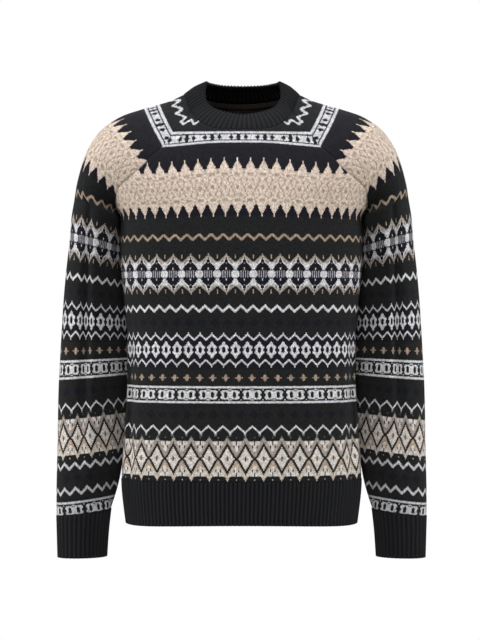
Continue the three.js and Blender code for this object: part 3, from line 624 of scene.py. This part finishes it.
# The back of the body. It is one piece of the same stranded knitting as the front, but reaches higher at the
# neck. It is linked to the sleeves along the raglan seams and to the front down the sides.
BACK_NECK_POWER = 2
BACK = [
    (2, 78, 46, 72), (-10, 84, 57, 78), (-32, 98, 71, 87), (-62, 116, 82, 98), (-88, 132, 87, 105),
    (-108, 146, 88, 110), (-134, 166, 83, 115), (-163, 186, 65, 118), (-184, 193, 38, 119),
    (-197, 190, -8, 119), (-246, 191, -8, 117), (-325, 185, -8, 111), (-389, 180, -8, 107),
    (-452, 180, -8, 105), (-520, 184, -8, 105), (-606, 188.5, -8, 104), (-671, 184, -8, 100),
]
back_face, back_seam = body_face(BACK, 1, BACK_NECK_POWER)
points, stitches = panel(back_face, back_seam_z, back_mid_z, 1, False)
back_panel = knitted_piece("back_panel", points, stitches, 1, [knit, floats])


# The sleeves. Each is one piece of stranded knitting from the neck to the cuff band. It is linked to the
# body along both raglan seams and closed by a seam under the arm. It hangs close to the body.

# Shoulder line: its point on each row of the yoke, how the row sets off from the seam, and its fullness
SHOULDER = [
    (91, 2, -1, -49, 19), (115, 2, -12, -42, 27), (133, 2, -17.4, -32, 33), (160, 1, -25.3, -24, 41),
    (187, 0, -34.5, -14, 45), (208.5, 0, -46.6, -8, 50), (226.5, -1, -63.2, 0, 54),
    (246.5, -2, -98, 15, 57), (260.5, -3, -150, 45, 67), (263.5, -3, -167.5, 90, 83),
]
# Outer point, inner point and half depth of each row below the underarm
SLEEVE = [
    (263.5, -3, -167.5, 190, -8, -197, 62), (268.5, -2, -198, 190.6, 2, -222, 62),
    (271, -1, -229, 189.4, 10, -249, 61), (277, 0, -281, 186.8, 13, -295, 58),
    (281.3, 0, -330, 183.4, 13, -340, 56), (284, -1, -374, 180.2, 13, -377, 55),
    (286.3, -2, -417, 179.2, 13, -413, 54), (288.5, -3, -461, 179.4, 12, -452, 53),
    (289.5, -4, -505, 181.4, 12, -494, 52), (290, -5, -548, 183.6, 11, -536, 51),
    (291, -6, -588, 187.6, 10, -575, 49), (291.5, -8, -622, 193.4, 8, -610, 46),
    (291.5, -9, -647, 200.5, 6, -636, 42), (291, -10, -664, 206.5, 5, -654, 38),
]
CUFF_SEAM = UNDERARM + len(SLEEVE) - 1
# The row of the chart at each station on the front raglan seam, and how many rows further it is along the
# shoulder line and at the back raglan seam
SLEEVE_ROWS = [
    (20, 2.5, -22), (28.5, 2.5, -25.8), (36.6, 2.5, -20.3), (48.8, 2.5, -13.8), (61, 2, -10),
    (75, 1, -11.5), (93, 0, -13), (110.4, 0, -11.5), (139, 0, -12), (149, 0, 0), (165, 0, 0),
    (181.7, 0, 0), (210.9, 0, 0), (241.3, 0, 0), (265.8, 0, 0), (290.2, 0, 0), (315.1, 0, 0),
    (341.7, 0, 0), (367.6, 0, 0), (393.4, 0, 0), (413.2, 0, 0), (428.3, 0, 0), (439, 0, 0),
]
SLEEVE_COLUMNS = 96
SLEEVE_STEPS = 8
# The crease down the front: how far round it lies, its first and last station, its width and depth, and the
# stitches that it gathers within its reach
SLEEVE_CREASE = {"round": 0.285, "top": 7, "end": 20, "width": 0.024, "depth": 9, "gather": 12, "reach": 0.05}
# The side towards the body falls back between the seam and the crease: where round it is deepest and where it
# ends, how deep it is, and the stations over which it sets in and dies out
SLEEVE_HOLLOW = {"from": 0.09, "to": 0.28, "depth": 13, "top": (9, 13), "end": (20, CUFF_SEAM)}
# The handles of a half ellipse are this much longer than it is deep
HANDLE_LENGTH = 4 / 3


def arc(seam, out, sideways, turn, handle, s):
    """Points of the arcs between seam points and outermost points, at the shares s of the way."""
    flat = (out - seam) * (1, 0, 1)
    flat /= np.linalg.norm(flat, axis=-1, keepdims=True)
    lead = flat * np.cos(turn)[:, None] + np.array([0, sideways, 0]) * np.sin(turn)[:, None]
    control = seam + lead * handle[:, None]
    crown = out + np.array([0, sideways, 0]) * handle[:, None]
    s = s[None, :, None]
    parts = (seam[:, None] * (1 - s) ** 3, 3 * control[:, None] * s * (1 - s) ** 2,
             3 * crown[:, None] * s * s * (1 - s), out[:, None] * s ** 3)
    return sum(parts)


def ring(front, back, out, turn, handle, rounds):
    """Rows of points from the front seam over the outermost point to the back seam."""
    ahead = arc(front, out, -1, turn, handle, 2 * rounds[rounds <= 0.5])
    behind = arc(back, out, 1, turn, handle, 2 - 2 * rounds[rounds > 0.5])
    return np.concatenate([ahead, behind], axis=1)


def band_ring(table, stations, rounds):
    """Rows of points round the sleeve, from a table of its outer points, inner points and half depths."""
    out_x, out_y, out_z, in_x, in_y, in_z, half_depth = (curve(stations) for curve in by_station(table))
    inner = np.stack([in_x, in_y, in_z], axis=-1)
    out = np.stack([out_x, out_y, out_z], axis=-1)
    return ring(inner, inner, out, np.full(len(stations), np.pi / 2), HANDLE_LENGTH * half_depth, rounds)


rounds = np.linspace(0, 1, SLEEVE_COLUMNS + 1)
sleeve_stations = np.linspace(0, CUFF_SEAM, CUFF_SEAM * SLEEVE_STEPS + 1)
upper = sleeve_stations[sleeve_stations <= UNDERARM]
lower = sleeve_stations[sleeve_stations > UNDERARM]
out_x, out_y, out_z, turn, handle = (curve(upper) for curve in by_station(SHOULDER))
yoke_part = ring(front_seam(front_seam_z(upper)), back_seam(back_seam_z(upper)),
                 np.stack([out_x, out_y, out_z], axis=-1), np.radians(turn), handle, rounds)
sleeve_points = np.concatenate([yoke_part, band_ring(SLEEVE, lower - UNDERARM, rounds)])
crease = np.exp(-((rounds - SLEEVE_CREASE["round"]) / SLEEVE_CREASE["width"]) ** 2)
crease_length = SLEEVE_CREASE["end"] - SLEEVE_CREASE["top"]
crease_down = np.sin(np.pi * np.clip((sleeve_stations - SLEEVE_CREASE["top"]) / crease_length, 0, 1))
sleeve_points[..., 1] += SLEEVE_CREASE["depth"] * crease[None, :] * crease_down[:, None]
hollow = 1 - smooth_step(rounds, SLEEVE_HOLLOW["from"], SLEEVE_HOLLOW["to"])
hollow *= smooth_step(rounds, 0, SLEEVE_HOLLOW["from"])
hollow_down = 1 - smooth_step(sleeve_stations, *SLEEVE_HOLLOW["end"])
hollow_down *= smooth_step(sleeve_stations, *SLEEVE_HOLLOW["top"])
sleeve_points[..., 1] += SLEEVE_HOLLOW["depth"] * hollow[None, :] * hollow_down[:, None]
sleeve_row, top_shift, back_shift = (curve(sleeve_stations)[:, None] for curve in by_station(SLEEVE_ROWS))
to_top, to_back = smooth_step(rounds, 0, 0.5)[None, :], smooth_step(rounds, 0.5, 1)[None, :]
sleeve_row = sleeve_row + top_shift * to_top + (back_shift - top_shift) * to_back
along = lengths_along(sleeve_points)
sleeve_across = (along - along[:, SLEEVE_COLUMNS // 2, None]) / stitch_width(sleeve_row)
gathered = 1 - smooth_step(rounds, SLEEVE_CREASE["round"] - SLEEVE_CREASE["reach"],
                           SLEEVE_CREASE["round"] + SLEEVE_CREASE["reach"])
sleeve_across -= SLEEVE_CREASE["gather"] * gathered[None, :] * crease_down[:, None]
sleeve_stitches = np.stack([sleeve_across, sleeve_row], axis=-1)
sleeve_points = pull_in_edges(sleeve_points, 1)
MIRROR = np.array([-1, 1, 1])
for name, mirror, outward in (("right_sleeve", 1, 1), ("left_sleeve", MIRROR, -1)):
    sleeve = knitted_piece(name, sleeve_points * mirror, sleeve_stitches, outward,
                           [knit, floats], closed_from=UNDERARM * SLEEVE_STEPS)


# The ribbed bands. The neck, hem and cuffs are charcoal wool in one-by-one rib, which stands up in narrow
# rounded ridges with purl stitches hidden in the furrows between them. They are linked on to the knitting.
# How far a rib's crest stands out, and the furrow sinks in
RIB_HEIGHT = 0.9
RIB_STEPS = 8
RIB_ROW = 1.5
# How sharply a rib falls away from its crest
RIB_FALL = 1.3
# The slant of the stitches on a rib, in rows to the width of a rib
RIB_SLANT = 2.4
# The charcoal yarn on the crests, and painted shade darkening it into the furrows
RIB_YARN_AND_FURROW_SHADE = [(0.2, "#1D1E21"), (0.47, "#0E0E10")]
RIB_BUMP = 0.5
RIB_PATCH_SCALE = 0.8
RIB_PATCH_DETAIL = 3.0
# How unevenly patches take the dye, and how much painted shade darkens each row towards its ends: the spread
# and the least share of the colour
RIB_PATCH_DYE = (0.5, 0.7)
RIB_ROW_PAINTED_SHADE = (0.3, 0.8)

rib = bpy.data.materials.new("charcoal_wool_rib")
rib.use_nodes = True
tree = rib.node_tree
surface = tree.nodes["Principled BSDF"]
place = add(tree, "ShaderNodeUVMap", uv_map="stitches")
axes = add(tree, "ShaderNodeSeparateXYZ", {0: place.outputs[0]})
in_rib = add(tree, "ShaderNodeMath", {0: axes.outputs[0]}, operation="FRACT").outputs[0]
from_crest = add(tree, "ShaderNodeMath", {0: in_rib, 1: 0.5}, operation="SUBTRACT").outputs[0]
from_crest = add(tree, "ShaderNodeMath", {0: from_crest}, operation="ABSOLUTE").outputs[0]
v_row = add(tree, "ShaderNodeMath", {0: from_crest, 1: RIB_SLANT, 2: axes.outputs[1]},
            operation="MULTIPLY_ADD").outputs[0]
in_row = rounded(tree, v_row)
# Painted shade: the rib darkens from its crests into the furrows
furrow = add(tree, "ShaderNodeValToRGB", {"Fac": from_crest})
for element, (position, shade) in zip(furrow.color_ramp.elements, RIB_YARN_AND_FURROW_SHADE):
    element.position = position
    element.color = linear(shade)
patch = add(tree, "ShaderNodeTexNoise",
            {"Vector": place.outputs[0], "Scale": RIB_PATCH_SCALE, "Detail": RIB_PATCH_DETAIL}).outputs[0]
tone = add(tree, "ShaderNodeMath", {0: patch, 1: RIB_PATCH_DYE[0], 2: RIB_PATCH_DYE[1]},
           operation="MULTIPLY_ADD").outputs[0]
# Painted shade between the rows of each rib
row_painted_shade = add(tree, "ShaderNodeMath", {0: in_row, 1: RIB_ROW_PAINTED_SHADE[0], 2: RIB_ROW_PAINTED_SHADE[1]},
               operation="MULTIPLY_ADD").outputs[0]
tone = add(tree, "ShaderNodeMath", {0: tone, 1: row_painted_shade}, operation="MULTIPLY").outputs[0]
toned = add(tree, "ShaderNodeVectorMath", {0: furrow.outputs[0], "Scale": tone}, operation="SCALE").outputs[0]
finish_wool(tree, surface, toned, in_row, RIB_BUMP)


def evenly(line, count):
    """Points evenly spaced along a line of points."""
    steps = np.linalg.norm(np.diff(line, axis=0), axis=1)
    length = np.concatenate([[0], np.cumsum(steps)])
    at = np.linspace(0, length[-1], count + 1)
    return np.stack([np.interp(at, length, line[:, k]) for k in range(line.shape[1])], axis=-1)


def ring_normals(points, outward):
    """Normals of a grid whose rows are rings with a repeated last point."""
    padded = np.concatenate([points[:, -2:-1], points, points[:, 1:2]], axis=1)
    return grid_normals(padded, outward)[:, 1:-1]


def ribbed(points, ribs, outward):
    """The points of a band with its ribs raised, and their places in ribs and rows."""
    phase = np.linspace(0, ribs, points.shape[1])
    profile = RIB_HEIGHT * (1 - 2 * np.abs(np.cos(np.pi * phase)) ** RIB_FALL)
    moved = points + ring_normals(points, outward) * profile[None, :, None]
    depth = np.linalg.norm(np.diff(points, axis=0), axis=2).mean(axis=1)
    row = np.concatenate([[0], np.cumsum(depth)]) / RIB_ROW
    stitches = np.stack(np.broadcast_arrays(phase[None, :], row[:, None]), axis=-1)
    return moved, stitches


# The hem band is charcoal wool rib, linked on round the lower edge of the body. Its edge hangs a little
# lower at the sides, and draws in at its corners.
HEM_RIBS = 150
HEM_ROWS = 20
HEM_DROP = 2
HEM_SIDE_DROP = 5
HEM_CORNER = 3
HEM_CORNER_IN = 0.012
# How close to the sides the corner lifts and draws in
HEM_LIFT_POWER = 12
HEM_IN_POWER = 8
hem_rows = []
for z in np.linspace(HEM_SEAM_Z, HEM_END_Z, HEM_ROWS + 1):
    level = np.array([z])
    behind = back_face(level, level, shares)[0][::-1]
    around = np.concatenate([front_face(level, level, shares)[0], behind[1:]])
    lower = ((HEM_SEAM_Z - z) / (HEM_SEAM_Z - HEM_END_Z)) ** 2
    sides = np.abs(around[:, 0]) / np.abs(around[:, 0]).max()
    around[:, 2] -= lower * (HEM_DROP + HEM_SIDE_DROP * sides ** 2 - HEM_CORNER * sides ** HEM_LIFT_POWER)
    around[:, 0] *= 1 - HEM_CORNER_IN * lower * sides ** HEM_IN_POWER
    hem_rows.append(evenly(around, HEM_RIBS * RIB_STEPS))
points, stitches = ribbed(np.array(hem_rows), HEM_RIBS, -1)
hem_rib = knitted_piece("hem_rib", points, stitches, -1, [rib], closed_from=0)

# The cuff bands are charcoal wool rib, linked on round the end of each sleeve. They draw in towards the hand.

# Outer point, inner point and half depth of their rows
CUFF = [(291, -10, -664, 206.5, 5, -654, 38), (290, -11, -697, 210.5, 3, -692, 35),
        (289, -12, -730, 213, 2, -730, 33)]
CUFF_RIBS = 34
CUFF_ROWS = 20
CUFF_STEPS = 192
cuff_stations = np.linspace(0, len(CUFF) - 1, CUFF_ROWS + 1)
cuff_rings = band_ring(CUFF, cuff_stations, np.linspace(0, 1, CUFF_STEPS + 1))
cuff_rows = [evenly(row, CUFF_RIBS * RIB_STEPS) for row in cuff_rings]
cuff_points, stitches = ribbed(np.array(cuff_rows), CUFF_RIBS, 1)
for name, mirror, outward in (("right_cuff_rib", 1, 1), ("left_cuff_rib", MIRROR, -1)):
    cuff = knitted_piece(name, cuff_points * mirror, stitches, outward, [rib], closed_from=0)

# The neck band is charcoal wool rib, linked on round the neck seam. It is knitted double: it turns over in a
# soft round edge and is sewn down inside along the seam.

# Ribs from the middle of the front to the raglan seam, across the sleeve, and on to the middle of the back
NECK_RIBS = (13, 14, 11)
# The upper edge from the middle of the front to the middle of the back
NECK_EDGE = [
    (0, -51, -36), (14, -50, -34.5), (31.5, -46, -30.5), (46, -40, -24.5), (56, -31, -15.5), (60, -21, -3),
    (59.5, -9, 10), (57.5, 5, 21), (54, 22, 20.7), (44, 37, 20.2), (28, 48, 19.5), (0, 53, 19),
]
# The edge stands a little to one side of the middle
NECK_LEAN = 2.5
NECK_BULGE = 2.5
NECK_ROWS = 12
# The radius of the turned edge
NECK_TURN = 2.1
NECK_TURN_ROWS = 6
NECK_WALL = 1.8 * MM
NECK_EDGE_STEPS = 400
# How far down inside the band reaches, as a share of its height above the seam
NECK_INSIDE_END = 0.1
top_row = np.zeros(1)
shoulder_top = np.array(SHOULDER[:1], float)
sleeve_top = ring(front_seam(front_seam_z(top_row)), back_seam(back_seam_z(top_row)), shoulder_top[:, :3],
                  np.radians(shoulder_top[:, 3]), shoulder_top[:, 4], rounds)[0]
front_top = front_face(front_seam_z(top_row), front_mid_z(top_row), shares)[0]
back_top = back_face(back_seam_z(top_row), back_mid_z(top_row), shares)[0]
half = PANEL_COLUMNS // 2
stretches = [front_top[:half + 1][::-1], sleeve_top, back_top[:half + 1]]
right = [evenly(line, RIB_STEPS * ribs) for line, ribs in zip(stretches, NECK_RIBS)]
right = np.concatenate([right[0], right[1][1:], right[2][1:]])
low = np.concatenate([right, (right * MIRROR)[::-1][1:]])
edge_stations = np.linspace(0, len(NECK_EDGE) - 1, NECK_EDGE_STEPS)
edge_line = np.stack([curve(edge_stations) for curve in by_station(NECK_EDGE)], axis=-1)
edge = evenly(edge_line, len(right) - 1)
edge = np.concatenate([edge, (edge * MIRROR)[::-1][1:]]) + (NECK_LEAN, 0, 0)
upwards = edge - low
upwards /= np.linalg.norm(upwards, axis=1, keepdims=True)
high = edge - upwards * NECK_TURN
climb = np.linspace(0, 1, NECK_ROWS + 1)
wall_points = low[None] * (1 - climb[:, None, None]) + high[None] * climb[:, None, None]
lean = ring_normals(wall_points, -1)
outer = wall_points + lean * (NECK_BULGE * np.sin(np.pi * climb))[:, None, None]
turned = np.pi * np.linspace(0, 1, NECK_TURN_ROWS + 2)[1:-1, None, None]
turn_over = high - lean[-1] * NECK_TURN * (1 - np.cos(turned)) + upwards * NECK_TURN * np.sin(turned)
inner = (outer - lean * 2 * NECK_TURN)[climb >= NECK_INSIDE_END][::-1]
points, stitches = ribbed(np.concatenate([outer, turn_over, inner]), 2 * sum(NECK_RIBS), -1)
neck_rib = knitted_piece("neck_rib", points, stitches, -1, [rib], closed_from=0, wall=NECK_WALL)


# The neck tape. A narrow strip of dark brown cotton twill is sewn inside the back of the neck, over the
# seam, so that the seam doesn't rub or stretch.
TAPE_HEIGHT = 8
TAPE_WALL = 1 * MM
TAPE_REACH = 0.9
TAPE_INSET = 2.9
TAPE_COLUMNS = 60
TAPE_ROWS = 8
# The weave's ridges run down at a slant, and this times the millimetres across and down gives their turn
TWILL_TURN = 6.5
TWILL_RELIEF = 0.2 * MM
TWILL_BUMP = 0.5
TWILL_ROUGHNESS = 0.8
# The tape's brown, lighter on the ridges and darker between them with painted shade
TWILL_RIDGE_SHADES = ("#2A201C", "#4E4038")
tape_stations = np.array([0.0, 0.25, 0.5, 0.75])
tape_shares = np.linspace(0.5 - TAPE_REACH / 2, 0.5 + TAPE_REACH / 2, TAPE_COLUMNS + 1)
tape_points = back_face(back_seam_z(tape_stations), back_mid_z(tape_stations), tape_shares)
tape_points = tape_points - grid_normals(tape_points, 1) * TAPE_INSET
top = tape_points[0]
down = tape_points[2] - top
down /= np.linalg.norm(down, axis=1, keepdims=True)
tape_down = np.linspace(0, TAPE_HEIGHT, TAPE_ROWS + 1)
tape_points = np.stack([top + down * depth for depth in tape_down])
along = lengths_along(tape_points)
tape_stitches = np.stack(np.broadcast_arrays(along, tape_down[:, None]), axis=-1)

twill = bpy.data.materials.new("brown_cotton_twill_tape")
twill.use_nodes = True
tree = twill.node_tree
surface = tree.nodes["Principled BSDF"]
place = add(tree, "ShaderNodeUVMap", uv_map="stitches")
axes = add(tree, "ShaderNodeSeparateXYZ", {0: place.outputs[0]})
slant = add(tree, "ShaderNodeMath", {0: axes.outputs[0], 1: axes.outputs[1]}, operation="ADD").outputs[0]
slant = add(tree, "ShaderNodeMath", {0: slant, 1: TWILL_TURN}, operation="MULTIPLY").outputs[0]
ridge = add(tree, "ShaderNodeMath", {0: slant}, operation="SINE").outputs[0]
# Painted shade: the brown follows the ridges' height, lighter on top and darker in between
twill_ridge_shade = add(tree, "ShaderNodeValToRGB", {"Fac": ridge})
for element, shade in zip(twill_ridge_shade.color_ramp.elements, TWILL_RIDGE_SHADES):
    element.color = linear(shade)
tree.links.new(twill_ridge_shade.outputs[0], surface.inputs["Base Color"])
bump = add(tree, "ShaderNodeBump", {"Height": ridge, "Distance": TWILL_RELIEF, "Strength": TWILL_BUMP})
tree.links.new(bump.outputs[0], surface.inputs["Normal"])
surface.inputs["Roughness"].default_value = TWILL_ROUGHNESS
neck_tape = knitted_piece("neck_tape", tape_points, tape_stitches, 1, [twill], wall=TAPE_WALL)
